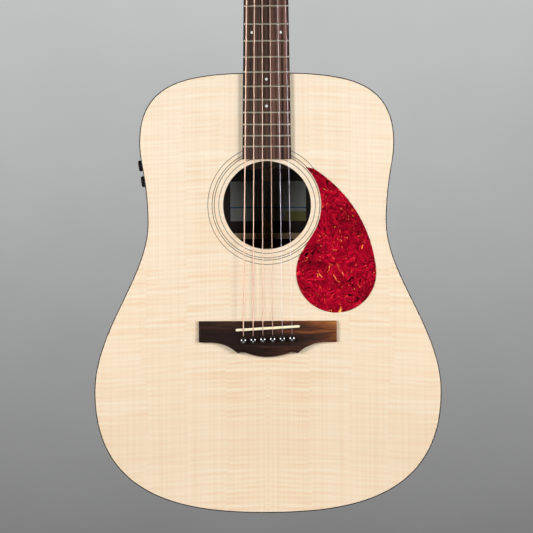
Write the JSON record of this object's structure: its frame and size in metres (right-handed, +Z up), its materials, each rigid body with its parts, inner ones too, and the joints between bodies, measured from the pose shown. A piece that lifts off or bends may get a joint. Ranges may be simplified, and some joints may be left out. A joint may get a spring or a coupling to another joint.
{
  "type": "acoustic guitar",
  "caption": "Steel-string dreadnought acoustic guitar with a pale flamed top, tortoiseshell pickguard, side controls and an end-pin jack.",
  "frame": {"origin": "on the centre line at the nut, where the strings leave it, in the plane of the soundboard's face and the fretboard's gluing face", "axes": "+Z up the neck towards the headstock, +X to the treble side, -Y out of the soundboard towards the listener"},
  "size_m": [0.3956, 0.1356, 1.0403],
  "materials": {
    "spruce_top": "pale figured softwood, clear gloss lacquer",
    "brace_spruce": "raw planed spruce",
    "rosewood": "dark brown streaked wood, satin lacquer",
    "fretboard_wood": "oiled dark brown wood with fine grain",
    "bridge_wood": "oiled dark to red-brown streaked wood",
    "mahogany": "red-brown wood with open pores, satin",
    "lining_wood": "raw light wood",
    "rosette_inlay": "top wood inlaid with thin dark grey rings, lacquered",
    "bone": "polished bone",
    "black_plastic": "glossy black",
    "tortoiseshell": "red tortoiseshell pattern with amber flecks and black streaks, glossy",
    "chrome": "polished",
    "fret_wire": "polished nickel silver",
    "wound_string": "phosphor bronze winding",
    "plain_string": "bright plain steel",
    "steel_rod": "oiled steel",
    "paper_label": "matt printed paper without lettering"
  },
  "bodies": {
    "guitar": {"headstock_plate": "rosewood", "tuner_housing_low_e": "chrome", "tuner_housing_a": "chrome", "tuner_housing_d": "chrome", "tuner_housing_g": "chrome", "tuner_housing_b": "chrome", "tuner_housing_high_e": "chrome", "soundboard": "spruce_top", "rosette": "rosette_inlay", "pickguard": "tortoiseshell", "bridge": "bridge_wood", "saddle": "bone", "bridge_plate": "lining_wood", "bridge_pin_low_e": "black_plastic", "bridge_pin_a": "black_plastic", "bridge_pin_d": "black_plastic", "bridge_pin_g": "black_plastic", "bridge_pin_b": "black_plastic", "bridge_pin_high_e": "black_plastic", "side_treble": "rosewood", "side_bass": "rosewood", "top_binding": "black_plastic", "back_binding": "black_plastic", "top_lining": "lining_wood", "back_lining": "lining_wood", "neck_block": "mahogany", "tail_block": "mahogany", "back_plate": "rosewood", "top_bracing": "brace_spruce", "back_bracing": "brace_spruce", "endpin_jack": "chrome", "control_plate": "black_plastic", "preamp_box": "black_plastic", "truss_rod": "steel_rod", "neck": "mahogany", "heel_cap": "rosewood", "fretboard": "fretboard_wood", "frets": "fret_wire", "nut": "bone", "string_low_e": "wound_string", "string_a": "wound_string", "string_d": "wound_string", "string_g": "wound_string", "string_b": "plain_string", "string_high_e": "plain_string"},
    "volume_knob": {"volume_knob": "black_plastic"},
    "tone_knob": {"tone_knob": "black_plastic"},
    "truss_rod_nut": {"truss_rod_nut": "steel_rod"},
    "tuner_button_low_e": {"tuner_button_low_e": "chrome"},
    "tuner_post_low_e": {"tuner_post_low_e": "chrome"},
    "tuner_button_a": {"tuner_button_a": "chrome"},
    "tuner_post_a": {"tuner_post_a": "chrome"},
    "tuner_button_d": {"tuner_button_d": "chrome"},
    "tuner_post_d": {"tuner_post_d": "chrome"},
    "tuner_button_g": {"tuner_button_g": "chrome"},
    "tuner_post_g": {"tuner_post_g": "chrome"},
    "tuner_button_b": {"tuner_button_b": "chrome"},
    "tuner_post_b": {"tuner_post_b": "chrome"},
    "tuner_button_high_e": {"tuner_button_high_e": "chrome"},
    "tuner_post_high_e": {"tuner_post_high_e": "chrome"}
  },
  "joints": [
    {"name": "tuner_button_low_e_turn", "type": "hinge", "parent": "guitar", "child": "tuner_button_low_e", "pos_m": [-0.0235, 0.02647, 0.03179], "axis": [-1, 0, 0], "continuous": true},
    {"name": "tuner_post_low_e_turn", "type": "hinge", "parent": "guitar", "child": "tuner_post_low_e", "pos_m": [-0.0235, 0.01016, 0.04575], "axis": [0, -0.9703, 0.2419], "continuous": true},
    {"name": "tuner_button_a_turn", "type": "hinge", "parent": "guitar", "child": "tuner_button_a", "pos_m": [-0.0235, 0.0359, 0.06963], "axis": [-1, 0, 0], "continuous": true},
    {"name": "tuner_post_a_turn", "type": "hinge", "parent": "guitar", "child": "tuner_post_a", "pos_m": [-0.0235, 0.0196, 0.08359], "axis": [0, -0.9703, 0.2419], "continuous": true},
    {"name": "tuner_button_d_turn", "type": "hinge", "parent": "guitar", "child": "tuner_button_d", "pos_m": [-0.0235, 0.04534, 0.10748], "axis": [-1, 0, 0], "continuous": true},
    {"name": "tuner_post_d_turn", "type": "hinge", "parent": "guitar", "child": "tuner_post_d", "pos_m": [-0.0235, 0.02903, 0.12144], "axis": [0, -0.9703, 0.2419], "continuous": true},
    {"name": "tuner_button_g_turn", "type": "hinge", "parent": "guitar", "child": "tuner_button_g", "pos_m": [0.0235, 0.04534, 0.10748], "axis": [1, 0, 0], "continuous": true},
    {"name": "tuner_post_g_turn", "type": "hinge", "parent": "guitar", "child": "tuner_post_g", "pos_m": [0.0235, 0.02903, 0.12144], "axis": [0, -0.9703, 0.2419], "continuous": true},
    {"name": "tuner_button_b_turn", "type": "hinge", "parent": "guitar", "child": "tuner_button_b", "pos_m": [0.0235, 0.0359, 0.06963], "axis": [1, 0, 0], "continuous": true},
    {"name": "tuner_post_b_turn", "type": "hinge", "parent": "guitar", "child": "tuner_post_b", "pos_m": [0.0235, 0.0196, 0.08359], "axis": [0, -0.9703, 0.2419], "continuous": true},
    {"name": "tuner_button_high_e_turn", "type": "hinge", "parent": "guitar", "child": "tuner_button_high_e", "pos_m": [0.0235, 0.02647, 0.03179], "axis": [1, 0, 0], "continuous": true},
    {"name": "tuner_post_high_e_turn", "type": "hinge", "parent": "guitar", "child": "tuner_post_high_e", "pos_m": [0.0235, 0.01016, 0.04575], "axis": [0, -0.9703, 0.2419], "continuous": true},
    {"name": "volume_knob_turn", "type": "hinge", "parent": "guitar", "child": "volume_knob", "pos_m": [-0.14313, 0.05, -0.46153], "axis": [-0.9867, 0, -0.1627], "range_deg": [-140, 140]},
    {"name": "tone_knob_turn", "type": "hinge", "parent": "guitar", "child": "tone_knob", "pos_m": [-0.14007, 0.05, -0.47998], "axis": [-0.9886, 0, -0.1508], "range_deg": [-140, 140]},
    {"name": "truss_rod_nut_turn", "type": "hinge", "parent": "guitar", "child": "truss_rod_nut", "pos_m": [0, 0.0063, -0.4553], "axis": [0, 0, -1], "range_deg": [-180, 180]}
  ],
  "couplings": [
    {"joint": "tuner_post_low_e_turn", "follows": "tuner_button_low_e_turn", "ratio": 0.071429},
    {"joint": "tuner_post_a_turn", "follows": "tuner_button_a_turn", "ratio": 0.071429},
    {"joint": "tuner_post_d_turn", "follows": "tuner_button_d_turn", "ratio": 0.071429},
    {"joint": "tuner_post_g_turn", "follows": "tuner_button_g_turn", "ratio": -0.071429},
    {"joint": "tuner_post_b_turn", "follows": "tuner_button_b_turn", "ratio": -0.071429},
    {"joint": "tuner_post_high_e_turn", "follows": "tuner_button_high_e_turn", "ratio": -0.071429}
  ]
}
